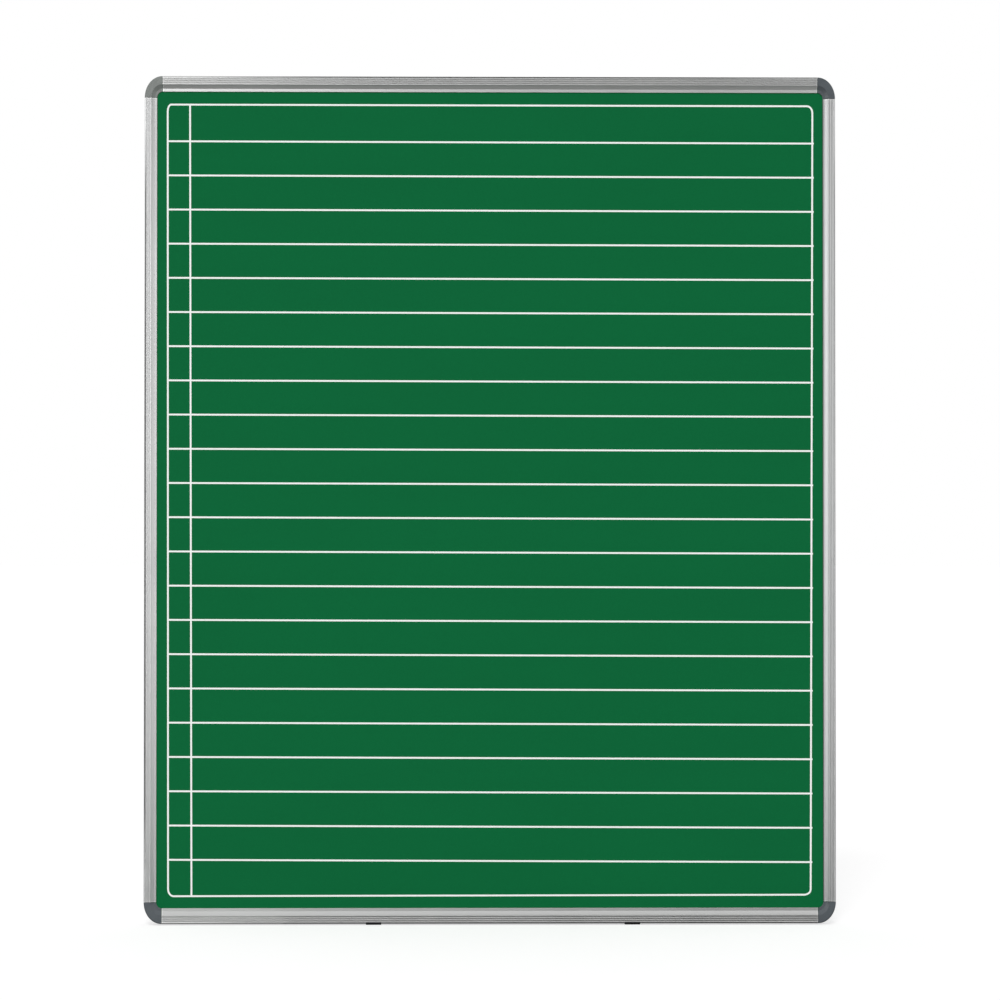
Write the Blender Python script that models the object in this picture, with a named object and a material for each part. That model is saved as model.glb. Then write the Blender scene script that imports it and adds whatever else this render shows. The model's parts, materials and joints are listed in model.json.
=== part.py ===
"""Ruled green chalkboard in a ribbed aluminium frame, with round plastic corner caps, for a wall.

Metres, +Z up, +X to the right of someone who faces the board, and the front towards -Y. The origin
lies in the wall's plane, behind the middle of the board.

Sections are drawn in (u, v): u runs from the frame's outer edge inwards, along the face, and v runs
from the frame's back towards the front.
"""

import math
from collections import namedtuple

import bmesh
import bpy
from mathutils import Vector

# Overall size of the frame
BOARD_WIDTH = 1.000
BOARD_HEIGHT = 1.225

# Gap between pieces that touch, and at the joint of a cap and an extrusion
FIT = 0.0003
SEAM = 0.0005

# Panel, from the front to the back
SHEET_THICKNESS = 0.0005
CORE_THICKNESS = 0.0085
BACKING_THICKNESS = 0.0004

# Top and bottom rail: ribbed band, flank and lip, as seen from the front
RAIL_BAND = 0.0123
RAIL_FLANK = 0.0058
RAIL_LIP = 0.0044
RAIL_FIRST_GROOVE = 0.0039
RAIL_GROOVE_PITCH = 0.0029

# Left and right stile: the same parts
STILE_BAND = 0.0099
STILE_FLANK = 0.0046
STILE_LIP = 0.0035
STILE_FIRST_GROOVE = 0.0033
STILE_GROOVE_PITCH = 0.0023

# What both extrusions share
WALL = 0.0012
EDGE_RADIUS = 0.0020
EDGE_BREAK = 0.0004
LIP_ROUND = 0.0005
FLANK_DROP = 0.0040
FLANK_HOLLOW = 0.0001
GROOVES = 3
GROOVE_WIDTH = 0.0013
GROOVE_DEPTH = 0.0006
RIB_CROWN = 0.00015
BACK_RECESS = 0.0030
FLANGE_REACH = 0.0070
CHANNEL_SLOT = 0.0046

# Corner caps
CAP_INNER_X = 0.0075
CAP_INNER_Z = 0.0085
CAP_WALL = 0.0018
BULKHEAD = 0.0025
TONGUE_LENGTH = 0.0300
TONGUE_TAPER_LENGTH = 0.0050
TONGUE_TAPER = 0.0009
TONGUE_CHAMFER = 0.0006

# Corner screws
SCREW_INSET = 0.0150
SCREW_HEAD_RADIUS = 0.0034
SCREW_HEAD_HEIGHT = 0.0014
SCREW_SHANK_RADIUS = 0.0015
SCREW_SHANK_LENGTH = 0.0110
SCREW_POINT = 0.0020
CROSS_LENGTH = 0.0036
CROSS_WIDTH = 0.0008
CROSS_DEPTH = 0.0009

# Fittings between the frame and the wall
PLATE = 0.0016
FOOT = 0.0016
BEND_RADIUS = 0.0010

# Hangers behind the top rail
HANGER_X = 0.300
HANGER_WIDTH = 0.0400
HANGER_SHOULDER = 0.0140
HANGER_REACH = 0.0500
HANGER_END_RADIUS = 0.0130
KEYHOLE_HEAD_RADIUS = 0.0045
KEYHOLE_SHANK_RADIUS = 0.0026
KEYHOLE_TRAVEL = 0.0100

# Clips on the bottom rail
CLIP_LEFT_X = -0.1685
CLIP_RIGHT_X = 0.2055
CLIP_WIDTH = 0.0220
CLIP_WALL = 0.0011
CLIP_REACH = 0.0300
CLIP_CORNER = 0.0040
CLIP_HOLE_RADIUS = 0.0023
CLIP_SINK_RADIUS = 0.0042
CLIP_SINK_LAND = 0.0004
CLIP_SINK_DEPTH = 0.0012
CLIP_HOLE_FROM_END = 0.0085

# Fineness of the curves
CIRCLE_SIDES = 24
CORNER_STEPS = 16
PLATE_STEPS = 16
FLANK_STEPS = 6
EDGE_STEPS = 6
SMALL_STEPS = 3
SMOOTH_ANGLE = 30

# Sizes that follow from the ones above
PANEL_THICKNESS = SHEET_THICKNESS + FIT + CORE_THICKNESS + FIT + BACKING_THICKNESS
FLANGE_TOP = BACK_RECESS + WALL
PANEL_BACK = FLANGE_TOP + FIT
PANEL_FRONT = PANEL_BACK + PANEL_THICKNESS
LIP_UNDER = PANEL_FRONT + FIT
LIP_TOP = LIP_UNDER + WALL
FRAME_DEPTH = LIP_TOP + FLANK_DROP
FRAME_BACK = PLATE + FIT
RAIL_FACE = RAIL_BAND + RAIL_FLANK + RAIL_LIP
STILE_FACE = STILE_BAND + STILE_FLANK + STILE_LIP
CAP_WIDTH = STILE_FACE + CAP_INNER_X
CAP_HEIGHT = RAIL_FACE + CAP_INNER_Z

Section = namedtuple("Section", "band flank lip first_groove groove_pitch")
RAIL = Section(RAIL_BAND, RAIL_FLANK, RAIL_LIP, RAIL_FIRST_GROOVE, RAIL_GROOVE_PITCH)
STILE = Section(STILE_BAND, STILE_FLANK, STILE_LIP, STILE_FIRST_GROOVE, STILE_GROOVE_PITCH)


def clear_scene():
    for thing in list(bpy.data.objects):
        bpy.data.objects.remove(thing, do_unlink=True)


def material(name, colour, roughness, metallic):
    made = bpy.data.materials.new(name)
    made.use_nodes = True
    made.diffuse_color = (*colour, 1.0)
    shader = made.node_tree.nodes["Principled BSDF"]
    shader.inputs["Base Color"].default_value = (*colour, 1.0)
    shader.inputs["Roughness"].default_value = roughness
    shader.inputs["Metallic"].default_value = metallic
    return made


def new_object(name, mesh, finish=None):
    thing = bpy.data.objects.new(name, mesh)
    bpy.context.scene.collection.objects.link(thing)
    if finish and not mesh.materials:
        mesh.materials.append(finish)
    return thing


def mesh_from(name, bm):
    bmesh.ops.recalc_face_normals(bm, faces=bm.faces)
    mesh = bpy.data.meshes.new(name)
    bm.to_mesh(mesh)
    bm.free()
    return mesh


def shade(mesh):
    mesh.shade_smooth()
    mesh.set_sharp_from_angle(angle=math.radians(SMOOTH_ANGLE))


def arc(centre_u, centre_v, radius, start, end, steps):
    """Points on an arc, with its angles in degrees and both ends included."""
    points = []
    for step in range(steps + 1):
        angle = math.radians(start + (end - start) * step / steps)
        points.append((centre_u + radius * math.cos(angle), centre_v + radius * math.sin(angle)))
    return points


def circle(radius):
    return arc(0.0, 0.0, radius, 0, 360, CIRCLE_SIDES)[:-1]


def loft(rings):
    """A closed body through rings of equally many points, with flat ends."""
    bm = bmesh.new()
    loops = [[bm.verts.new(point) for point in ring] for ring in rings]
    count = len(loops[0])
    for near, far in zip(loops, loops[1:]):
        for i in range(count):
            j = (i + 1) % count
            bm.faces.new((near[i], near[j], far[j], far[i]))
    bm.faces.new(loops[0][::-1])
    bm.faces.new(loops[-1])
    return bm


def combine(thing, others, operation):
    """Cut thing by the others, or join or intersect it with them, and keep the result's mesh."""
    for other in others:
        other.hide_render = True
        other.display_type = "WIRE"
        step = thing.modifiers.new(operation.title(), "BOOLEAN")
        step.operation = operation
        step.solver = "EXACT"
        step.object = other
    graph = bpy.context.evaluated_depsgraph_get()
    mesh = bpy.data.meshes.new_from_object(thing.evaluated_get(graph))
    thing.modifiers.clear()
    thing.data = mesh
    for other in others:
        bpy.data.objects.remove(other, do_unlink=True)


# Frame sections


def grooved_band(section):
    """The crowned ribs and the grooves between them, from the rounded edge inwards."""
    points = []
    for k in range(GROOVES):
        middle = section.first_groove + k * section.groove_pitch
        points += [
            (middle - GROOVE_WIDTH / 2, FRAME_DEPTH - RIB_CROWN),
            (middle - GROOVE_WIDTH / 4, FRAME_DEPTH - GROOVE_DEPTH),
            (middle + GROOVE_WIDTH / 4, FRAME_DEPTH - GROOVE_DEPTH),
            (middle + GROOVE_WIDTH / 2, FRAME_DEPTH - RIB_CROWN),
        ]
        rib_end = middle + section.groove_pitch - GROOVE_WIDTH / 2
        if k == GROOVES - 1:
            rib_end = section.band - EDGE_BREAK
        points.append(((middle + GROOVE_WIDTH / 2 + rib_end) / 2, FRAME_DEPTH))
    return points


def band_edge(section):
    """The small round between the band and the flank."""
    return arc(section.band - EDGE_BREAK, FRAME_DEPTH - EDGE_BREAK, EDGE_BREAK, 90, 40, SMALL_STEPS)


def flank_curve(section):
    """The hollow flank that falls from the band to the lip."""
    start = Vector(band_edge(section)[-1])
    end = Vector((section.band + section.flank, LIP_TOP))
    chord = end - start
    inwards = Vector((chord.y, -chord.x)).normalized()
    bend = (start + end) / 2 + 2 * FLANK_HOLLOW * inwards
    points = []
    for step in range(FLANK_STEPS + 1):
        share = step / FLANK_STEPS
        first = start.lerp(bend, share)
        second = bend.lerp(end, share)
        points.append(tuple(first.lerp(second, share)))
    return points


def front_curve(section, grooved):
    """The visible face, from the outer wall round to the lip's inner edge."""
    face = section.band + section.flank + section.lip
    points = arc(EDGE_RADIUS, FRAME_DEPTH - EDGE_RADIUS, EDGE_RADIUS, 180, 90, EDGE_STEPS)
    if grooved:
        points += grooved_band(section)
    points += band_edge(section)[:-1]
    points += flank_curve(section)
    points += arc(face - LIP_ROUND, LIP_TOP - LIP_ROUND, LIP_ROUND, 90, 0, SMALL_STEPS)
    points.append((face, LIP_UNDER))
    return points


def flank_underside(section):
    """The back of the lip and flank, from the lip outwards to the band."""
    steep = math.hypot(section.flank, FLANK_DROP) / section.flank
    points = []
    for u, v in reversed(flank_curve(section)[1:]):
        points.append((u, max(v - WALL * steep, LIP_UNDER)))
    return points


def extrusion_outline(section):
    """One C-shaped extrusion: a channel open to the back, and a slot that holds the panel's edge."""
    slot_outer = (section.band - CHANNEL_SLOT) / 2
    slot_inner = (section.band + CHANNEL_SLOT) / 2
    points = [(0.0, 0.0)]
    points += front_curve(section, grooved=True)
    points += flank_underside(section)
    points += [
        (section.band, FRAME_DEPTH - WALL - EDGE_BREAK),
        (section.band, FLANGE_TOP),
        (section.band + FLANGE_REACH, FLANGE_TOP),
        (section.band + FLANGE_REACH, FLANGE_TOP - WALL),
        (section.band, FLANGE_TOP - WALL),
        (section.band, 0.0),
        (slot_inner, 0.0),
        (slot_inner, WALL),
        (section.band - WALL, WALL),
        (section.band - WALL, FRAME_DEPTH - WALL),
    ]
    points += arc(EDGE_RADIUS, FRAME_DEPTH - EDGE_RADIUS, EDGE_RADIUS - WALL, 90, 180, SMALL_STEPS)
    points += [(WALL, WALL), (slot_outer, WALL), (slot_outer, 0.0)]
    return points


def extrusion_mesh(name, section, length):
    outline = extrusion_outline(section)
    rings = [[(along, -v, -u) for u, v in outline] for along in (-length / 2, length / 2)]
    mesh = mesh_from(name, loft(rings))
    shade(mesh)
    return mesh


def add_frame(aluminium):
    rail = extrusion_mesh("rail", RAIL, BOARD_WIDTH - 2 * (CAP_WIDTH + SEAM))
    stile = extrusion_mesh("stile", STILE, BOARD_HEIGHT - 2 * (CAP_HEIGHT + SEAM))
    places = (
        ("top_rail", rail, 0.0, BOARD_HEIGHT / 2, 0),
        ("bottom_rail", rail, 0.0, -BOARD_HEIGHT / 2, 180),
        ("left_stile", stile, -BOARD_WIDTH / 2, 0.0, -90),
        ("right_stile", stile, BOARD_WIDTH / 2, 0.0, 90),
    )
    for name, mesh, x, z, turn in places:
        thing = new_object(name, mesh, aluminium)
        thing.location = (x, -FRAME_BACK, z)
        thing.rotation_euler = (0, math.radians(turn), 0)


# Corner caps


def cap_outline(section):
    """The cap's wall: the extrusion's face without grooves, over a hollow for the panel's corner."""
    points = [(0.0, 0.0)]
    points += front_curve(section, grooved=False)
    points += flank_underside(section)
    points.append((section.band, FRAME_DEPTH - CAP_WALL))
    points += arc(EDGE_RADIUS, FRAME_DEPTH - EDGE_RADIUS, EDGE_RADIUS - CAP_WALL, 90, 180, SMALL_STEPS)
    points.append((CAP_WALL, 0.0))
    return points


def cap_shell(side):
    """Both sections blended round a quarter ellipse. side is 1 for the top right, -1 for the top left."""
    rings = []
    for step in range(CORNER_STEPS + 1):
        angle = math.radians(90 * step / CORNER_STEPS)
        share = math.sin(angle) ** 2
        ring = []
        for (stile_u, stile_v), (rail_u, rail_v) in zip(cap_outline(STILE), cap_outline(RAIL)):
            x = (CAP_WIDTH - stile_u) * math.cos(angle)
            z = (CAP_HEIGHT - rail_u) * math.sin(angle)
            ring.append((side * x, -(stile_v + share * (rail_v - stile_v)), z))
        rings.append(ring)
    return new_object("cap_shell", mesh_from("cap_shell", loft(rings)))


def chamfered(u0, u1, v0, v1, cut):
    """A rectangle with cut corners."""
    return [
        (u0 + cut, v0),
        (u1 - cut, v0),
        (u1, v0 + cut),
        (u1, v1 - cut),
        (u1 - cut, v1),
        (u0 + cut, v1),
        (u0, v1 - cut),
        (u0, v0 + cut),
    ]


def cap_solid(name, side, place, stations):
    """A body through outlines at given distances past the joint. place turns a distance, u and v into
    a point of the cap."""
    rings = []
    for distance, outline in stations:
        points = [place(distance, u, v) for u, v in outline]
        rings.append([(side * x, y, z) for x, y, z in points])
    return new_object(name, mesh_from(name, loft(rings)))


def bulkhead(side, section, place):
    """The wall that closes one end of the cap."""
    outline = chamfered(CAP_WALL / 2, section.band, WALL, FRAME_DEPTH - CAP_WALL / 2, TONGUE_CHAMFER)
    return cap_solid("bulkhead", side, place, ((FIT + BULKHEAD, outline), (FIT, outline)))


def tongue(side, section, place):
    """The tongue that goes into the extrusion's channel, with a tapered tip."""
    near = WALL + FIT
    far_u = section.band - near
    far_v = FRAME_DEPTH - near
    full = chamfered(near, far_u, near, far_v, TONGUE_CHAMFER)
    near += TONGUE_TAPER
    tip = chamfered(near, far_u - TONGUE_TAPER, near, far_v - TONGUE_TAPER, TONGUE_CHAMFER)
    taper_start = TONGUE_TAPER_LENGTH - TONGUE_LENGTH
    stations = ((FIT + BULKHEAD / 2, full), (taper_start, full), (-TONGUE_LENGTH, tip))
    return cap_solid("tongue", side, place, stations)


def pilot_hole(side, section, place):
    """The hole in a tongue that the corner screw goes into, from behind."""
    x, _, z = place(-SCREW_INSET, section.band / 2, 0.0)
    outline = circle(SCREW_SHANK_RADIUS + FIT)
    depths = (0.0, SCREW_SHANK_LENGTH + FIT)
    rings = [[(side * x + a, -depth, z + b) for a, b in outline] for depth in depths]
    return new_object("pilot_hole", mesh_from("pilot_hole", loft(rings)))


def cap_mesh(side):
    cap = cap_shell(side)

    def into_rail(distance, u, v):
        return (distance, -v, CAP_HEIGHT - u)

    def into_stile(distance, u, v):
        return (CAP_WIDTH - u, -v, distance)

    ends = ((RAIL, into_rail), (STILE, into_stile))
    for section, place in ends:
        combine(cap, [bulkhead(side, section, place), tongue(side, section, place)], "UNION")
    combine(cap, [pilot_hole(side, section, place) for section, place in ends], "DIFFERENCE")
    mesh = cap.data
    bpy.data.objects.remove(cap, do_unlink=True)
    shade(mesh)
    return mesh


def add_caps(plastic):
    """Two mirrored mouldings, each used at two corners that lie across from each other."""
    right, left = cap_mesh(1), cap_mesh(-1)
    places = (
        ("corner_cap_top_right", right, 1, 1, 0),
        ("corner_cap_top_left", left, -1, 1, 0),
        ("corner_cap_bottom_left", right, -1, -1, 180),
        ("corner_cap_bottom_right", left, 1, -1, 180),
    )
    for name, mesh, side, level, turn in places:
        thing = new_object(name, mesh, plastic)
        x = side * (BOARD_WIDTH / 2 - CAP_WIDTH)
        thing.location = (x, -FRAME_BACK, level * (BOARD_HEIGHT / 2 - CAP_HEIGHT))
        thing.rotation_euler = (0, math.radians(turn), 0)


# Corner screws


def screw_mesh():
    """A pan head with a cross recess and a pointed shank, its axis along Y and its seat at y = 0."""
    crown = SCREW_HEAD_HEIGHT / 2
    profile = [
        (SCREW_HEAD_RADIUS, 0.0),
        (SCREW_HEAD_RADIUS, crown),
        (SCREW_HEAD_RADIUS - crown / 2, SCREW_HEAD_HEIGHT - crown / 4),
        (SCREW_HEAD_RADIUS / 2, SCREW_HEAD_HEIGHT),
    ]
    shank = [
        (SCREW_SHANK_RADIUS / 4, -SCREW_SHANK_LENGTH),
        (SCREW_SHANK_RADIUS, SCREW_POINT - SCREW_SHANK_LENGTH),
        (SCREW_SHANK_RADIUS, 0.0),
    ]
    rings = [[(a, y, b) for a, b in circle(radius)] for radius, y in shank + profile]
    screw = new_object("screw", mesh_from("screw", loft(rings)))
    arm, half = CROSS_LENGTH / 2, CROSS_WIDTH / 2
    cross = [(half, arm), (half, half), (arm, half), (arm, -half), (half, -half), (half, -arm)]
    cross += [(-a, -b) for a, b in cross]
    depths = (SCREW_HEAD_HEIGHT - CROSS_DEPTH, SCREW_HEAD_HEIGHT + CROSS_DEPTH)
    rings = [[(a, y, b) for a, b in cross] for y in depths]
    recess = new_object("recess", mesh_from("recess", loft(rings)))
    combine(screw, [recess], "DIFFERENCE")
    mesh = screw.data
    bpy.data.objects.remove(screw, do_unlink=True)
    shade(mesh)
    return mesh


def add_screws(steel):
    mesh = screw_mesh()
    rail_x = BOARD_WIDTH / 2 - CAP_WIDTH - SCREW_INSET
    rail_z = (BOARD_HEIGHT - RAIL_BAND) / 2
    stile_x = (BOARD_WIDTH - STILE_BAND) / 2
    stile_z = BOARD_HEIGHT / 2 - CAP_HEIGHT - SCREW_INSET
    for row, level in (("top", 1), ("bottom", -1)):
        for column, side in (("left", -1), ("right", 1)):
            for kind, x, z in (("rail", rail_x, rail_z), ("stile", stile_x, stile_z)):
                screw = new_object(f"corner_screw_{row}_{column}_{kind}", mesh, steel)
                screw.location = (side * x, FIT - FRAME_BACK, level * z)


# Panel


def sheet_mesh(name, front, back):
    half_x = BOARD_WIDTH / 2 - STILE_BAND - FIT
    half_z = BOARD_HEIGHT / 2 - RAIL_BAND - FIT
    corners = ((-half_x, -half_z), (half_x, -half_z), (half_x, half_z), (-half_x, half_z))
    return mesh_from(name, loft([[(x, -v, z) for x, z in corners] for v in (back, front)]))


def add_panel(green, board, zinc):
    layers = (
        ("writing_sheet", green, SHEET_THICKNESS),
        ("core_board", board, CORE_THICKNESS),
        ("backing_sheet", zinc, BACKING_THICKNESS),
    )
    front = PANEL_FRONT
    for name, finish, thickness in layers:
        back = front - thickness
        layer = new_object(name, sheet_mesh(name, front, back), finish)
        layer.location = (0, -FRAME_BACK, 0)
        front = back - FIT


# Hangers and clips


def along_rail(name, outline, width):
    """A section of the rail's direction, drawn in (u, v), as a body of the given width."""
    rings = [[(x, -v, -u) for u, v in outline] for x in (-width / 2, width / 2)]
    return new_object(name, mesh_from(name, loft(rings)))


def through_plate(name, outline):
    """A cutter through the fitting's full depth, drawn in (x, u)."""
    depths = (-FRAME_BACK - PLATE, FRAME_DEPTH + FRAME_BACK)
    rings = [[(x, -v, -u) for x, u in outline] for v in depths]
    return new_object(name, mesh_from(name, loft(rings)))


def hanger_section():
    """Plate against the wall, neck through the channel's slot, and foot behind the channel's outer lip."""
    neck = (RAIL_BAND - CHANNEL_SLOT) / 2 + FIT
    plate_back, plate_front = -FIT - PLATE, -FIT
    foot_back, foot_front = WALL + FIT, WALL + FIT + FOOT
    points = arc(neck + BEND_RADIUS, plate_back + BEND_RADIUS, BEND_RADIUS, 180, 270, EDGE_STEPS)
    points += [(HANGER_REACH, plate_back), (HANGER_REACH, plate_front), (neck + PLATE, plate_front)]
    points += arc(neck + PLATE - BEND_RADIUS, foot_front - BEND_RADIUS, BEND_RADIUS, 0, 90, EDGE_STEPS)
    points += [(WALL + FIT, foot_front), (WALL + FIT, foot_back), (neck, foot_back)]
    return points


def hanger_outline():
    """The plate's outline from behind: full width at the rail, then drawn in to a round end that its
    sides run into without a kink."""
    half = HANGER_WIDTH / 2
    end = HANGER_REACH - HANGER_END_RADIUS
    fall = end - HANGER_SHOULDER
    start = math.acos(HANGER_END_RADIUS / math.hypot(half, fall)) - math.atan2(fall, half)
    start = math.degrees(start)
    points = [(half, 0.0), (half, HANGER_SHOULDER)]
    points += arc(0.0, end, HANGER_END_RADIUS, start, 180 - start, PLATE_STEPS)
    points += [(-half, HANGER_SHOULDER), (-half, 0.0)]
    return points


def keyhole():
    """A round hole for the wall screw's head, and a slot above it for the shank."""
    middle = HANGER_REACH - HANGER_END_RADIUS
    open_half = math.degrees(math.asin(KEYHOLE_SHANK_RADIUS / KEYHOLE_HEAD_RADIUS))
    points = arc(0.0, middle, KEYHOLE_HEAD_RADIUS, -90 + open_half, 270 - open_half, PLATE_STEPS)
    points += arc(0.0, middle - KEYHOLE_TRAVEL, KEYHOLE_SHANK_RADIUS, 180, 360, PLATE_STEPS)
    return points


def hanger_mesh():
    hanger = along_rail("hanger", hanger_section(), HANGER_WIDTH + FIT)
    combine(hanger, [through_plate("hanger_outline", hanger_outline())], "INTERSECT")
    combine(hanger, [through_plate("keyhole", keyhole())], "DIFFERENCE")
    mesh = hanger.data
    bpy.data.objects.remove(hanger, do_unlink=True)
    shade(mesh)
    return mesh


def clip_section():
    """Plate against the wall, foot in the channel, and a leg that goes under the rail and hooks its edge."""
    slot_outer = (RAIL_BAND - CHANNEL_SLOT) / 2 + FIT
    slot_inner = (RAIL_BAND + CHANNEL_SLOT) / 2 - FIT
    plate_back, plate_front = -FIT - PLATE, -FIT
    foot_back, foot_front = WALL + FIT, WALL + FIT + FOOT
    hook_v = FRAME_DEPTH - EDGE_RADIUS
    inner = EDGE_RADIUS + FIT
    outer = inner + CLIP_WALL
    heel = -FIT - CLIP_WALL + BEND_RADIUS
    points = arc(heel, plate_back + BEND_RADIUS, BEND_RADIUS, 270, 180, EDGE_STEPS)
    points += arc(EDGE_RADIUS, hook_v, outer, 180, 90, EDGE_STEPS)
    points += arc(EDGE_RADIUS, hook_v + (inner + outer) / 2, CLIP_WALL / 2, 90, -90, EDGE_STEPS)[1:-1]
    points += arc(EDGE_RADIUS, hook_v, inner, 90, 180, EDGE_STEPS)
    points += [(-FIT, plate_front), (slot_outer, plate_front), (slot_outer, foot_back)]
    points += [(WALL + FIT, foot_back), (WALL + FIT, foot_front)]
    points += [(RAIL_BAND - WALL - FIT, foot_front), (RAIL_BAND - WALL - FIT, foot_back)]
    points += [(slot_inner, foot_back), (slot_inner, plate_front)]
    points += [(CLIP_REACH, plate_front), (CLIP_REACH, plate_back)]
    return points


def clip_outline():
    """The clip's outline from behind, with the plate's free corners rounded."""
    half = CLIP_WIDTH / 2
    below = -FIT - CLIP_WALL - PLATE
    points = [(-half, below), (half, below)]
    points += arc(half - CLIP_CORNER, CLIP_REACH - CLIP_CORNER, CLIP_CORNER, 0, 90, EDGE_STEPS)
    points += arc(CLIP_CORNER - half, CLIP_REACH - CLIP_CORNER, CLIP_CORNER, 90, 180, EDGE_STEPS)
    return points


def clip_screw_hole():
    """A countersunk hole in the plate, its wide end towards the board."""
    z = CLIP_HOLE_FROM_END - CLIP_REACH
    stations = (
        (CLIP_HOLE_RADIUS, FIT + 2 * PLATE),
        (CLIP_HOLE_RADIUS, FIT + CLIP_SINK_DEPTH),
        (CLIP_SINK_RADIUS, FIT + CLIP_SINK_LAND),
        (CLIP_SINK_RADIUS, 0.0),
    )
    rings = [[(a, y, z + b) for a, b in circle(radius)] for radius, y in stations]
    return new_object("clip_screw_hole", mesh_from("clip_screw_hole", loft(rings)))


def clip_mesh():
    clip = along_rail("clip", clip_section(), CLIP_WIDTH + FIT)
    combine(clip, [through_plate("clip_outline", clip_outline())], "INTERSECT")
    combine(clip, [clip_screw_hole()], "DIFFERENCE")
    mesh = clip.data
    bpy.data.objects.remove(clip, do_unlink=True)
    shade(mesh)
    return mesh


def add_fittings(steel, nylon):
    """Each fitting's origin lies on the edge of the rail that it slides along."""
    hanger, clip = hanger_mesh(), clip_mesh()
    places = (
        ("hanger_left", hanger, steel, -HANGER_X, BOARD_HEIGHT / 2, 0),
        ("hanger_right", hanger, steel, HANGER_X, BOARD_HEIGHT / 2, 0),
        ("wall_clip_left", clip, nylon, CLIP_LEFT_X, -BOARD_HEIGHT / 2, 180),
        ("wall_clip_right", clip, nylon, CLIP_RIGHT_X, -BOARD_HEIGHT / 2, 180),
    )
    for name, mesh, finish, x, z, turn in places:
        thing = new_object(name, mesh, finish)
        thing.location = (x, -FRAME_BACK, z)
        thing.rotation_euler = (0, math.radians(turn), 0)


def build():
    clear_scene()
    green = material("green_enamel", (0.006, 0.130, 0.041), 0.35, 0.0)
    board = material("fibreboard", (0.36, 0.25, 0.15), 0.85, 0.0)
    zinc = material("galvanised_steel", (0.52, 0.54, 0.56), 0.40, 1.0)
    aluminium = material("anodised_aluminium", (0.66, 0.67, 0.67), 0.35, 1.0)
    plastic = material("grey_plastic", (0.13, 0.15, 0.16), 0.45, 0.0)
    steel = material("zinc_plated_steel", (0.60, 0.61, 0.62), 0.30, 1.0)
    nylon = material("black_nylon", (0.012, 0.012, 0.013), 0.50, 0.0)
    add_panel(green, board, zinc)
    add_frame(aluminium)
    add_caps(plastic)
    add_screws(steel)
    add_fittings(steel, nylon)


build()
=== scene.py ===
"""Looks of the ruled chalkboard: the finish of every piece, the ruling fired on the sheet, and the studio.

Metres, +Z up, +X to the right of someone who faces the board, and the front towards -Y.
"""

import json
import math
from collections import namedtuple

import bpy
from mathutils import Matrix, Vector


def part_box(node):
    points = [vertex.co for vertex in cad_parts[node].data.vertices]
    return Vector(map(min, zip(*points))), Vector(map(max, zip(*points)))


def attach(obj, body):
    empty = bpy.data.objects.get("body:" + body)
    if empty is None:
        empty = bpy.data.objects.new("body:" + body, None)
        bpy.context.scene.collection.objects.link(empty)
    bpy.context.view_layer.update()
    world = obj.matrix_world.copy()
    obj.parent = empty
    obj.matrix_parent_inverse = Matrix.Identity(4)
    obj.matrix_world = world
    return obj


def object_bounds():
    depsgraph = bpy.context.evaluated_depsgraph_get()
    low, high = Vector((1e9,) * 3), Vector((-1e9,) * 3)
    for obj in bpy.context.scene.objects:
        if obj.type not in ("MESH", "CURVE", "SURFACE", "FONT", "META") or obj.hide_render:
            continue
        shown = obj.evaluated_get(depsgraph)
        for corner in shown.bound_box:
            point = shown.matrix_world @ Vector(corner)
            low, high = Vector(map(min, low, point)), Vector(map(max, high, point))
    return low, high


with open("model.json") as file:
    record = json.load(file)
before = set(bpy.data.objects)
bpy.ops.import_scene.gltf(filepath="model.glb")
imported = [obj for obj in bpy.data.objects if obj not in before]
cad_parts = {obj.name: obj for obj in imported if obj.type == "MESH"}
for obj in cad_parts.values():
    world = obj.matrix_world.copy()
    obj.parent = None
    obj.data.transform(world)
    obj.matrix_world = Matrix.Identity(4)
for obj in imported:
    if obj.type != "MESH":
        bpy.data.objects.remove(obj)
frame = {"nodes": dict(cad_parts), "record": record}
cad_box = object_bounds()
cad_low = Vector(cad_box[0])

# The photograph's frame and view. The angles turn the camera about the middle of the board's face.
PHOTO_PIXELS = 1000
METRES_PER_PIXEL = 0.0014456
BOARD_CENTRE_PIXEL = (490.35, 499.53)
CAMERA_DISTANCE = 6.0
CAMERA_YAW = 0.98
CAMERA_PITCH = 0.84
CAMERA_ROLL = -0.01
SENSOR = 36.0
CLIP_START = 0.05

# White ruling, from the middle of the board. Upright lines have their x at the bottom and at the top,
# and level lines their z at the left and at the right.
RULE_WIDTH = 0.0025
RULE_THICKNESS = 0.0001
BORDER_LEFT = (-0.4650, -0.4670)
BORDER_RIGHT = (0.4638, 0.4673)
BORDER_BOTTOM = (-0.5727, -0.5716)
BORDER_TOP = (0.5716, 0.5710)
MARGIN = (-0.4313, -0.4347)
FIRST_ROW = (0.5185, 0.5168)
LAST_ROW = (-0.5202, -0.5245)
ROWS = 22
ROW_OVERRUN = 0.0010
TOP_LEFT_RADII = (0.0050, 0.0105)
BOTTOM_LEFT_RADII = (0.0080, 0.0107)
BOTTOM_RIGHT_RADII = (0.0096, 0.0076)
TOP_RIGHT_RADII = (0.0077, 0.0103)
CORNER_STEPS = 8
CROSSING_PASSES = 3
# The sides of the upright lines that the patches meet, from the left. Each has its line, and 1 for the
# line's right side or -1 for its left one.
UPRIGHT_SIDES = {
    "border_left": (BORDER_LEFT, 1),
    "margin_left": (MARGIN, -1),
    "margin_right": (MARGIN, 1),
    "border_right": (BORDER_RIGHT, -1),
}

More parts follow.
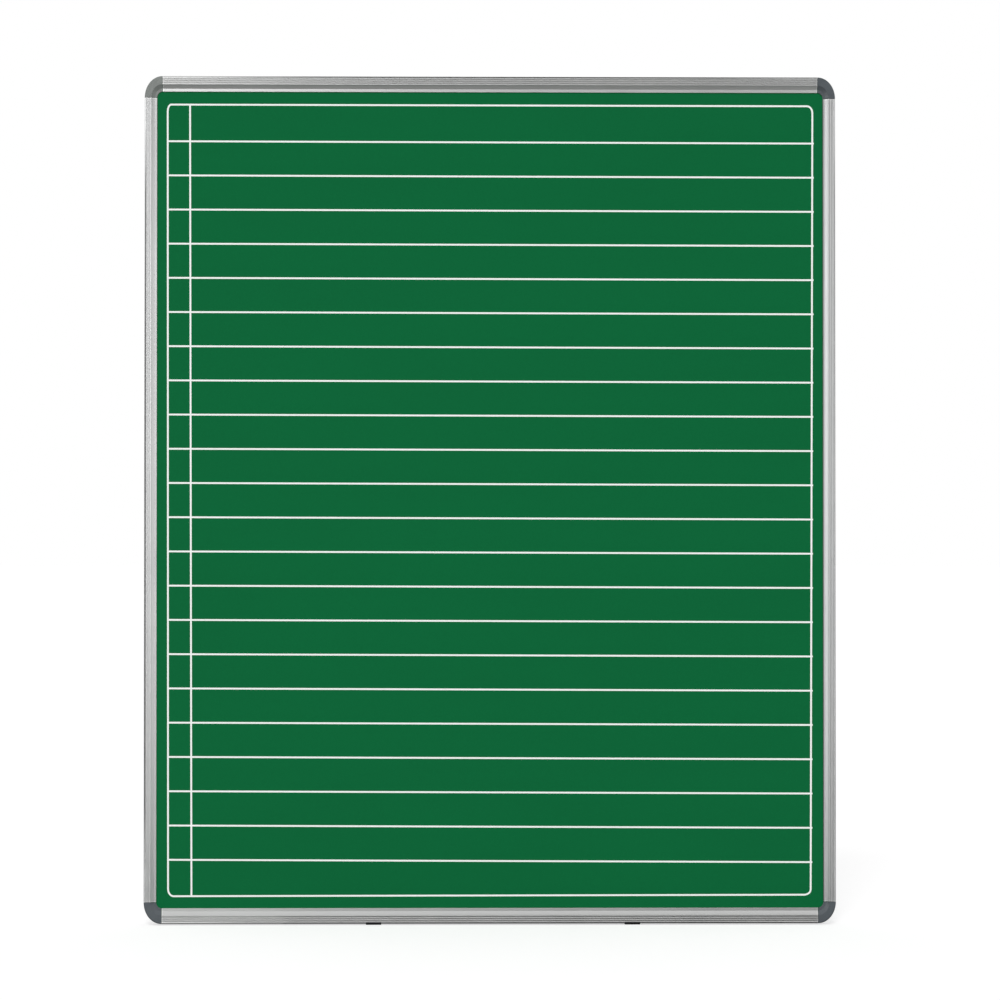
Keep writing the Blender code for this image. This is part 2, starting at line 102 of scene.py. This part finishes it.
# Aluminium. Each extrusion has its axes along and across and its colour, which differs between them as
# painted light: lighter on the left stile and darker on the bottom rail. Then come the painted shade in its
# grooves, the painted dark reflection along its outer edge, by its distance from the outer side and by its
# shade, and the strip of painted shade at the inner side of its lip, by its width and its shade.
Extrusion = namedtuple("Extrusion", "along across colour grooves line edge strip lip")
EXTRUSIONS = {
    "top_rail": Extrusion("X", "Z", (0.630, 0.635, 0.630), 0.74, 0.0016, 0.55, 0.0, 1.0),
    "bottom_rail": Extrusion("X", "Z", (0.600, 0.605, 0.600), 0.90, 0.0020, 0.60, 0.0, 1.0),
    "left_stile": Extrusion("Z", "X", (0.690, 0.695, 0.695), 0.88, 0.0016, 0.20, 0.0035, 0.74),
    "right_stile": Extrusion("Z", "X", (0.650, 0.655, 0.655), 0.66, 0.0010, 0.50, 0.0011, 0.30),
}
# A band of painted shade starts, is full, fades and ends at its four marks: depths behind the front for the
# grooves, and distances from its middle for the edge line. The edge line grows over EDGE_LINE_ENDS from each
# end, and both it and the strip fade out over FRONT_DEPTHS behind the front. The sawn ends are bright.
GROOVE_DEPTHS = (0.0002, 0.00045, 0.0007, 0.0009)
EDGE_LINE = (-0.0010, -0.0006, 0.0006, 0.0010)
EDGE_LINE_ENDS = (0.04, 0.14)
FRONT_DEPTHS = (0.008, 0.010)
STRIP_FADE = 0.0004
SAWN_END = (0.0009, 0.0015)
SAWN_SHINE = 1.25

# The extrusions' fine drawn lines and faint clouds, whose lumps are per metre
DRAWN_ALONG = 2.0
DRAWN_ACROSS = 2200.0
DRAWN_SHADES = (0.975, 1.015)
DRAWN_DEPTH = 0.000005
CLOUDS = (9.0,) * 3
CLOUD_SHADES = (0.97, 1.03)
ANODISED_ROUGHNESS = (0.35, 0.42)

# The other finishes. A colour is linear, its shades are the least and the greatest factor on it, and the
# roughness is a range too. The depth of the relief is in metres, and the noise has so many lumps per metre
# along x, y and z.
ZINC_LINES = (60.0, 2400.0, 2400.0)
FIBRES = (900.0, 2500.0, 900.0)
Finish = namedtuple("Finish", "colour shades roughness depth lumps")
FINISHES = {
    "green_enamel": Finish((0.00435, 0.1345, 0.0418), (0.96, 1.04), (0.50, 0.60), 0.00004, (700.0,) * 3),
    "white_enamel": Finish((0.960, 0.985, 0.966), (0.97, 1.02), (0.45, 0.60), 0.00003, (900.0,) * 3),
    "grey_plastic": Finish((0.080, 0.093, 0.104), (0.92, 1.08), (0.24, 0.36), 0.00004, (2200.0,) * 3),
    "grey_plastic_pale": Finish((0.190, 0.205, 0.195), (0.92, 1.08), (0.24, 0.36), 0.00004, (2200.0,) * 3),
    "black_nylon": Finish((0.012, 0.012, 0.013), (0.8, 1.3), (0.38, 0.55), 0.00006, (1800.0,) * 3),
    "galvanised_steel": Finish((0.50, 0.52, 0.54), (0.86, 1.08), (0.38, 0.52), 0.00002, (5.0,) * 3),
    "zinc_plated_steel": Finish((0.58, 0.60, 0.63), (0.88, 1.06), (0.24, 0.38), 0.00002, ZINC_LINES),
    "fibreboard": Finish((0.36, 0.25, 0.15), (0.75, 1.2), (0.8, 0.95), 0.0002, FIBRES),
}
GREEN_SPECULAR = 0.03
WHITE_SPECULAR = 0.2
PLASTIC_IOR = 1.5
NYLON_IOR = 1.53
WIPES = (3.0, 3.0, 9.0)
WIPE_SHADES = (0.98, 1.03)
PLASTIC_FLOW = (60.0,) * 3
ZINC_CLOUDS = (180.0,) * 3
CRYSTALS_PER_METRE = 90.0
HAZE_SHADES = (0.94, 1.04)

# Most of a noise lies in the first range, and masks and chosen shares lie in the second.
NOISE_RANGE = (0.3, 0.7)
UNIT_RANGE = (0.0, 1.0)

# Studio. The sun's height, side and angle are in degrees, and all lamps point to the middle of the board.
FLOOR_GAP = 0.0005
FLOOR_SIZE = 800.0
FLOOR_ROUGHNESS = 0.9
FLOOR_ALBEDO = 0.55
FLOOR_GLOW = 0.58
AMBIENT = 0.50
SUN_HEIGHT = 38.0
SUN_SIDE = -4.0
SUN_ANGLE = 14.0
SUN_STRENGTH = 1.56
FILL_PLACE = (-1.4, -5.6, 0.45)
FILL_SIZE = (2.0, 2.4)
FILL_WATTS = 25.0
SHINE_PLACE = (-2.4, -1.1, 0.25)
SHINE_SIZE = (0.5, 1.7)
SHINE_WATTS = 4.4
MIDDLE = (0.0, 0.0, 0.0)

# Grey cards outside the picture. Each has its place, its turn in degrees, its size and its grey. ON_FLOOR is
# just above the floor, and ON_CARD just above the cards that lie there.
LEVEL = (0.0, 0.0, 0.0)
UPRIGHT_ALONG_X = (90.0, 0.0, 0.0)
UPRIGHT_ALONG_Y = (0.0, 90.0, 0.0)
ON_FLOOR = cad_low.z - FLOOR_GAP / 2
ON_CARD = cad_low.z - FLOOR_GAP / 4
Card = namedtuple("Card", "place turn size grey")
CARDS = {
    "card_floor": Card((0.0, -1.0, ON_FLOOR), LEVEL, (3.2, 4.4), 0.40),
    "card_front": Card((0.30, -3.0, 0.95), UPRIGHT_ALONG_X, (1.3, 0.9), 0.12),
    "card_top": Card((0.45, -0.15, 0.80), LEVEL, (1.5, 0.4), 0.05),
    "card_under": Card((0.15, -0.05, ON_CARD), LEVEL, (0.9, 0.3), 0.10),
    "card_left": Card((-1.6, 0.8, -0.10), UPRIGHT_ALONG_Y, (0.9, 2.4), 0.35),
    "card_far": Card((0.0, -5.6, ON_FLOOR), LEVEL, (1.2, 4.8), 0.05),
}


def node_material(name, **values):
    """A material with its tree and Principled shader. Values are set on the shader's own sockets."""
    made = bpy.data.materials.new(name)
    made.use_nodes = True
    shader = made.node_tree.nodes["Principled BSDF"]
    for socket, value in values.items():
        shader.inputs[socket.replace("_", " ")].default_value = value
    return made, made.node_tree, shader


def add_node(tree, kind, inputs, **settings):
    """A node with its settings and input values. An input is a value or another node's output."""
    node = tree.nodes.new(kind)
    for setting, value in settings.items():
        setattr(node, setting, value)
    for socket, value in inputs.items():
        if isinstance(value, bpy.types.NodeSocket):
            tree.links.new(value, node.inputs[socket])
        else:
            node.inputs[socket].default_value = value
    return node


def calculate(tree, operation, first, second=0.0):
    return add_node(tree, "ShaderNodeMath", {0: first, 1: second}, operation=operation).outputs[0]


def object_place(tree):
    """The point's own place on the piece, in metres."""
    return tree.nodes.new("ShaderNodeTexCoord").outputs["Object"]


def noise(tree, per_metre, detail=3.0, roughness=0.55):
    """Noise with so many lumps per metre along x, y and z."""
    inputs = {0: object_place(tree), 1: per_metre}
    scaled = add_node(tree, "ShaderNodeVectorMath", inputs, operation="MULTIPLY").outputs[0]
    inputs = {"Vector": scaled, "Scale": 1.0, "Detail": detail, "Roughness": roughness}
    return add_node(tree, "ShaderNodeTexNoise", inputs).outputs["Fac"]


def spread(tree, value, low, high, start=NOISE_RANGE[0], end=NOISE_RANGE[1]):
    """The value's range from start to end, stretched over low to high."""
    inputs = {"Value": value, "From Min": start, "From Max": end, "To Min": low, "To Max": high}
    return add_node(tree, "ShaderNodeMapRange", inputs).outputs["Result"]


def inside(tree, value, marks):
    """1 where the value is in a band with soft sides, which starts, is full, fades and ends at the marks."""
    start, full, fade, end = marks
    entered = spread(tree, value, 0.0, 1.0, start, full)
    return calculate(tree, "MULTIPLY", entered, spread(tree, value, 1.0, 0.0, fade, end))


def tint(tree, shader, colour, *factors):
    """Give the shader a colour that the factors make darker or lighter."""
    factor = factors[0]
    for other in factors[1:]:
        factor = calculate(tree, "MULTIPLY", factor, other)
    scaled = add_node(tree, "ShaderNodeVectorMath", {"Vector": colour, "Scale": factor}, operation="SCALE")
    tree.links.new(scaled.outputs[0], shader.inputs["Base Color"])


def roughen(tree, shader, value):
    tree.links.new(value, shader.inputs["Roughness"])


def bump(tree, shader, height, metres):
    node = add_node(tree, "ShaderNodeBump", {"Height": height, "Distance": metres, "Strength": 1.0})
    tree.links.new(node.outputs["Normal"], shader.inputs["Normal"])


def grained(name, detail, **values):
    """A finish with one grain, which sets its shade, its roughness and its relief."""
    kind = FINISHES[name]
    made, tree, shader = node_material(name, **values)
    grain = noise(tree, kind.lumps, detail)
    tint(tree, shader, kind.colour, spread(tree, grain, *kind.shades))
    roughen(tree, shader, spread(tree, grain, *kind.roughness))
    bump(tree, shader, grain, kind.depth)
    return made


def green_enamel():
    """Matt enamel with faint marks of wiping."""
    kind = FINISHES["green_enamel"]
    made, tree, shader = node_material("green_enamel", Specular_IOR_Level=GREEN_SPECULAR)
    wiped = noise(tree, WIPES, detail=5.0)
    grain = noise(tree, kind.lumps, detail=2.0)
    tint(tree, shader, kind.colour, spread(tree, wiped, *WIPE_SHADES), spread(tree, grain, *kind.shades))
    roughen(tree, shader, spread(tree, wiped, *kind.roughness))
    bump(tree, shader, grain, kind.depth)
    return made


def extrusion_painted_shade_and_ends(tree, node):
    """Factors for the painted shade in the grooves of the band, for the painted dark reflection along the
    outer edge, for the painted shade on the strip of the lip, and for the bright sawn ends."""
    kind = EXTRUSIONS[node]
    low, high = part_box(node)
    spot = add_node(tree, "ShaderNodeSeparateXYZ", {"Vector": object_place(tree)}).outputs
    depth = calculate(tree, "SUBTRACT", spot["Y"], low.y)
    front = spread(tree, depth, 1.0, 0.0, *FRONT_DEPTHS)
    sides = sorted(abs(corner["XYZ".index(kind.across)]) for corner in (low, high))
    across = calculate(tree, "ABSOLUTE", spot[kind.across])
    from_inner = calculate(tree, "SUBTRACT", across, sides[0])
    from_line = calculate(tree, "SUBTRACT", sides[1] - kind.line, across)
    along = calculate(tree, "ABSOLUTE", spot[kind.along])
    from_end = calculate(tree, "SUBTRACT", high["XYZ".index(kind.along)], along)
    # Painted shade in the grooves and on the lip strip, and a painted dark reflection on the outer edge.
    grooves = inside(tree, depth, GROOVE_DEPTHS)
    edge = calculate(tree, "MULTIPLY", inside(tree, from_line, EDGE_LINE), front)
    edge = calculate(tree, "MULTIPLY", edge, spread(tree, from_end, 0.0, 1.0, *EDGE_LINE_ENDS))
    strip = spread(tree, from_inner, 1.0, 0.0, kind.strip, kind.strip + STRIP_FADE)
    strip = calculate(tree, "MULTIPLY", strip, front)
    return (
        spread(tree, grooves, 1.0, kind.grooves, *UNIT_RANGE),
        spread(tree, edge, 1.0, kind.edge, *UNIT_RANGE),
        spread(tree, strip, 1.0, kind.lip, *UNIT_RANGE),
        spread(tree, from_end, SAWN_SHINE, 1.0, *SAWN_END),
    )


def anodised(node):
    """Natural anodised aluminium, with the fine lines of the extrusion along it."""
    kind = EXTRUSIONS[node]
    made, tree, shader = node_material("anodised_aluminium_" + node, Metallic=1.0)
    per_metre = [DRAWN_ALONG if axis == kind.along else DRAWN_ACROSS for axis in "XYZ"]
    lines = noise(tree, per_metre, detail=2.0, roughness=0.6)
    cloud = noise(tree, CLOUDS)
    drawn = spread(tree, lines, *DRAWN_SHADES)
    clouded = spread(tree, cloud, *CLOUD_SHADES)
    # The colour takes painted shade in the grooves and lip strip, a painted dark edge reflection and bright
    # sawn ends.
    tint(tree, shader, kind.colour, drawn, clouded, *extrusion_painted_shade_and_ends(tree, node))
    roughen(tree, shader, spread(tree, cloud, *ANODISED_ROUGHNESS))
    bump(tree, shader, lines, DRAWN_DEPTH)
    return made


def grey_plastic(name):
    """Moulded plastic with a fine grain and faint marks of flow."""
    kind = FINISHES[name]
    made, tree, shader = node_material(name, IOR=PLASTIC_IOR)
    grain = noise(tree, kind.lumps, detail=2.0)
    flow = noise(tree, PLASTIC_FLOW)
    tint(tree, shader, kind.colour, spread(tree, flow, *kind.shades))
    roughen(tree, shader, spread(tree, grain, *kind.roughness))
    bump(tree, shader, grain, kind.depth)
    return made


def galvanised_steel():
    """Dull zinc with its spangle of crystals."""
    kind = FINISHES["galvanised_steel"]
    made, tree, shader = node_material("galvanised_steel", Metallic=1.0)
    inputs = {"Vector": object_place(tree), "Scale": CRYSTALS_PER_METRE, "Randomness": 1.0}
    crystals = add_node(tree, "ShaderNodeTexVoronoi", inputs)
    tone = add_node(tree, "ShaderNodeSeparateColor", {"Color": crystals.outputs["Color"]}).outputs
    haze = noise(tree, kind.lumps)
    shine = spread(tree, tone["Red"], *kind.shades, *UNIT_RANGE)
    tint(tree, shader, kind.colour, shine, spread(tree, haze, *HAZE_SHADES))
    roughen(tree, shader, spread(tree, tone["Green"], *kind.roughness, *UNIT_RANGE))
    bump(tree, shader, tone["Blue"], kind.depth)
    return made


def zinc_plated_steel():
    """Bright zinc, cloudy and drawn along x."""
    kind = FINISHES["zinc_plated_steel"]
    made, tree, shader = node_material("zinc_plated_steel", Metallic=1.0)
    cloud = noise(tree, ZINC_CLOUDS, detail=4.0)
    lines = noise(tree, kind.lumps)
    tint(tree, shader, kind.colour, spread(tree, cloud, *kind.shades))
    roughen(tree, shader, spread(tree, lines, *kind.roughness))
    bump(tree, shader, lines, kind.depth)
    return made


def finish_nodes():
    """Give every CAD node its finish. The extrusions' colours differ a little as painted light, and one cap
    is paler than the rest.
    """
    special = {node: anodised(node) for node in EXTRUSIONS}
    special["corner_cap_top_left"] = grey_plastic("grey_plastic_pale")
    finishes = {
        "green_enamel": green_enamel(),
        "fibreboard": grained("fibreboard", detail=5.0),
        "galvanised_steel": galvanised_steel(),
        "grey_plastic": grey_plastic("grey_plastic"),
        "zinc_plated_steel": zinc_plated_steel(),
        "black_nylon": grained("black_nylon", detail=2.0, IOR=NYLON_IOR),
    }
    for subpart in frame["record"]["subparts"]:
        name = subpart["node"]
        finish = special[name] if name in special else finishes[subpart["material_slot"]]
        for slot in frame["nodes"][name].material_slots:
            slot.material = finish


def between(low, high, share):
    return low + (high - low) * share


def upright_x(ends, z):
    """Where an upright line's middle is at height z."""
    return between(*ends, (z - BORDER_BOTTOM[0]) / (BORDER_TOP[0] - BORDER_BOTTOM[0]))


def level_z(line, x):
    """The height of a level line's middle at x. Line 0 is the border's top, and the last one its bottom."""
    if line == 0:
        ends = BORDER_TOP
    elif line == ROWS + 1:
        ends = BORDER_BOTTOM
    else:
        share = (line - 1) / (ROWS - 1)
        ends = [between(first, last, share) for first, last in zip(FIRST_ROW, LAST_ROW)]
    return between(*ends, (x - BORDER_LEFT[0]) / (BORDER_RIGHT[0] - BORDER_LEFT[0]))


def crossing(upright, line, level):
    """Where a side of an upright line meets the upper (1) or lower (-1) side of a level line."""
    ends, side = UPRIGHT_SIDES[upright]
    x = ends[0]
    for _ in range(CROSSING_PASSES):
        z = level_z(line, x) + level * RULE_WIDTH / 2
        x = upright_x(ends, z) + side * RULE_WIDTH / 2
    return (x, z)


def beside(point, across, up):
    """A pair of points, the second given and the first one line width outwards of it."""
    return ((point[0] + across * RULE_WIDTH, point[1] + up * RULE_WIDTH), point)


def corner_stations(side, level, corner, radii, start):
    """Pairs of points, outside and inside, round one corner of the border. side is 1 at the right and level
    is 1 at the top, and both are -1 across from there."""
    centre = (corner[0] - side * radii[0], corner[1] - level * radii[1])
    pairs = []
    for step in range(CORNER_STEPS + 1):
        angle = math.radians(start + 90 * step / CORNER_STEPS)
        pair = []
        for offset in (RULE_WIDTH / 2, -RULE_WIDTH / 2):
            across = (radii[0] + offset) * math.cos(angle)
            up = (radii[1] + offset) * math.sin(angle)
            pair.append((centre[0] + across, centre[1] + up))
        pairs.append(tuple(pair))
    return pairs


def border_stations():
    """Pairs of points, outside and inside, right round the border line, from its top left corner down."""
    bottom = ROWS + 1
    rows = range(1, bottom)
    pairs = corner_stations(-1, 1, (BORDER_LEFT[1], BORDER_TOP[0]), TOP_LEFT_RADII, 90)
    for row in rows:
        pairs += [beside(crossing("border_left", row, level), -1, 0) for level in (1, -1)]
    pairs += corner_stations(-1, -1, (BORDER_LEFT[0], BORDER_BOTTOM[0]), BOTTOM_LEFT_RADII, 180)
    pairs += [beside(crossing(side, bottom, 1), 0, -1) for side in ("margin_left", "margin_right")]
    pairs += corner_stations(1, -1, (BORDER_RIGHT[0], BORDER_BOTTOM[1]), BOTTOM_RIGHT_RADII, 270)
    for row in reversed(rows):
        pairs += [beside(crossing("border_right", row, level), 1, 0) for level in (-1, 1)]
    pairs += corner_stations(1, 1, (BORDER_RIGHT[1], BORDER_TOP[1]), TOP_RIGHT_RADII, 0)
    pairs += [beside(crossing(side, 0, -1), 0, 1) for side in ("margin_right", "margin_left")]
    return pairs


def overrun(row):
    """The short end of a row that sticks out past the border at the right."""
    points = []
    for level in (-1, 1):
        x, z = crossing("border_right", row, level)
        ends = [(x + RULE_WIDTH, z), (x + RULE_WIDTH + ROW_OVERRUN, z)]
        points += ends if level == -1 else reversed(ends)
    return points


def ruling_patches():
    """The four-sided patches of the border, the rows and the margin line, each counterclockwise."""
    pairs = border_stations()
    patches = []
    for (outer, inner), (next_outer, next_inner) in zip(pairs, pairs[1:] + pairs[:1]):
        patches.append((outer, next_outer, next_inner, inner))
    sides = list(UPRIGHT_SIDES)
    for row in range(1, ROWS + 1):
        for left, right in zip(sides, sides[1:]):
            ends = ((left, -1), (right, -1), (right, 1), (left, 1))
            patches.append([crossing(side, row, level) for side, level in ends])
        patches.append(overrun(row))
    for line in range(ROWS + 1):
        lower = [crossing(side, line + 1, 1) for side in ("margin_left", "margin_right")]
        upper = [crossing(side, line, -1) for side in ("margin_right", "margin_left")]
        patches.append(lower + upper)
    return patches


def add_ruling(finish):
    """All the white lines as one thin layer of enamel, fired on the sheet. The back's corners follow those of
    the front, and a side that two patches share gets no wall."""
    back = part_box("writing_sheet")[0].y
    patches = ruling_patches()
    points = list(dict.fromkeys(point for patch in patches for point in patch))
    corners = [(x, y, z) for y in (back - RULE_THICKNESS, back) for x, z in points]
    count = len(points)
    number = {point: index for index, point in enumerate(points)}
    fronts = [[number[point] for point in patch] for patch in patches]
    backs = [[index + count for index in reversed(front)] for front in fronts]
    sides = dict.fromkeys(side for front in fronts for side in zip(front, front[1:] + front[:1]))
    walls = [(end, start, start + count, end + count) for start, end in sides if (end, start) not in sides]
    mesh = bpy.data.meshes.new("ruling")
    mesh.from_pydata(corners, [], fronts + backs + walls)
    mesh.materials.append(finish)
    ruling = bpy.data.objects.new("ruling", mesh)
    bpy.context.scene.collection.objects.link(ruling)
    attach(ruling, "board")


def sees_backdrop(tree):
    """1 for rays from the camera, a reflection or glass, and 0 for those that light the object."""
    path = tree.nodes.new("ShaderNodeLightPath").outputs
    seen = calculate(tree, "MAXIMUM", path["Is Camera Ray"], path["Is Glossy Ray"])
    return calculate(tree, "MAXIMUM", seen, path["Is Transmission Ray"])


def add_flat(name, position, turn, size, finish):
    """A flat rectangle of the studio, such as the floor or a card."""
    half_x, half_y = size[0] / 2, size[1] / 2
    corners = [(-half_x, -half_y, 0), (half_x, -half_y, 0), (half_x, half_y, 0), (-half_x, half_y, 0)]
    mesh = bpy.data.meshes.new(name)
    mesh.from_pydata(corners, [], [(0, 1, 2, 3)])
    mesh.materials.append(finish)
    flat = bpy.data.objects.new(name, mesh)
    flat.location = position
    flat.rotation_euler = [math.radians(angle) for angle in turn]
    bpy.context.scene.collection.objects.link(flat)
    return flat


def add_floor():
    """A plain white floor, as bright as the backdrop wherever no shadow falls on it."""
    made, tree, shader = node_material("floor", Roughness=FLOOR_ROUGHNESS, Specular_IOR_Level=0.0)
    shader.inputs["Base Color"].default_value = (FLOOR_ALBEDO, FLOOR_ALBEDO, FLOOR_ALBEDO, 1.0)
    shader.inputs["Emission Color"].default_value = (1.0, 1.0, 1.0, 1.0)
    glow = calculate(tree, "MULTIPLY", sees_backdrop(tree), FLOOR_GLOW)
    tree.links.new(glow, shader.inputs["Emission Strength"])
    add_flat("floor", (0.0, 0.0, cad_low.z - FLOOR_GAP), LEVEL, (FLOOR_SIZE, FLOOR_SIZE), made)


def add_cards():
    """Cards that only metal and gloss reflect: the camera doesn't see them, and they cast no shadow."""
    for name, card in CARDS.items():
        made, _, shader = node_material(name, Roughness=1.0, Specular_IOR_Level=0.0)
        shader.inputs["Base Color"].default_value = (card.grey, card.grey, card.grey, 1.0)
        flat = add_flat(name, card.place, card.turn, card.size, made)
        flat.visible_camera = False
        flat.visible_diffuse = False
        flat.visible_shadow = False


def add_world():
    world = bpy.data.worlds.new("studio")
    world.use_nodes = True
    tree = world.node_tree
    backdrop = tree.nodes["Background"]
    backdrop.inputs["Color"].default_value = (1.0, 1.0, 1.0, 1.0)
    strength = spread(tree, sees_backdrop(tree), AMBIENT, 1.0, *UNIT_RANGE)
    tree.links.new(strength, backdrop.inputs["Strength"])
    bpy.context.scene.world = world


def add_lamp(name, lamp, position, target):
    holder = bpy.data.objects.new(name, lamp)
    holder.location = position
    holder.rotation_euler = (Vector(target) - Vector(position)).to_track_quat("-Z", "Y").to_euler()
    bpy.context.scene.collection.objects.link(holder)
    return holder


def add_softbox(name, position, size, watts):
    lamp = bpy.data.lights.new(name, "AREA")
    lamp.shape = "RECTANGLE"
    lamp.size, lamp.size_y = size
    lamp.energy = watts
    return add_lamp(name, lamp, position, MIDDLE)


def add_lights():
    """A broad even light from the front and above, and two softboxes. The side one only gives shine."""
    sun = bpy.data.lights.new("sun", "SUN")
    sun.energy = SUN_STRENGTH
    sun.angle = math.radians(SUN_ANGLE)
    height, side = math.radians(SUN_HEIGHT), math.radians(SUN_SIDE)
    towards = (math.cos(height) * math.sin(side), -math.cos(height) * math.cos(side), math.sin(height))
    add_lamp("sun", sun, towards, MIDDLE).visible_glossy = False
    add_softbox("fill", FILL_PLACE, FILL_SIZE, FILL_WATTS)
    add_softbox("shine", SHINE_PLACE, SHINE_SIZE, SHINE_WATTS).visible_diffuse = False


def add_camera():
    data = bpy.data.cameras.new("camera")
    data.sensor_width = SENSOR
    data.lens = SENSOR * CAMERA_DISTANCE / (PHOTO_PIXELS * METRES_PER_PIXEL)
    data.clip_start = CLIP_START
    data.clip_end = 2 * FLOOR_SIZE
    camera = bpy.data.objects.new("camera", data)
    across = (PHOTO_PIXELS / 2 - BOARD_CENTRE_PIXEL[0]) * METRES_PER_PIXEL
    up = (BOARD_CENTRE_PIXEL[1] - PHOTO_PIXELS / 2) * METRES_PER_PIXEL
    angles = (90 + CAMERA_PITCH, CAMERA_ROLL, -CAMERA_YAW)
    camera.rotation_euler = [math.radians(angle) for angle in angles]
    back = camera.rotation_euler.to_matrix() @ Vector((0.0, 0.0, CAMERA_DISTANCE))
    camera.location = Vector((across, cad_low.y, up)) + back
    bpy.context.scene.collection.objects.link(camera)
    bpy.context.scene.camera = camera


finish_nodes()
add_ruling(grained("white_enamel", detail=3.0, Specular_IOR_Level=WHITE_SPECULAR))
add_floor()
add_cards()
add_world()
add_lights()
add_camera()
bpy.context.scene.view_settings.view_transform = "Standard"
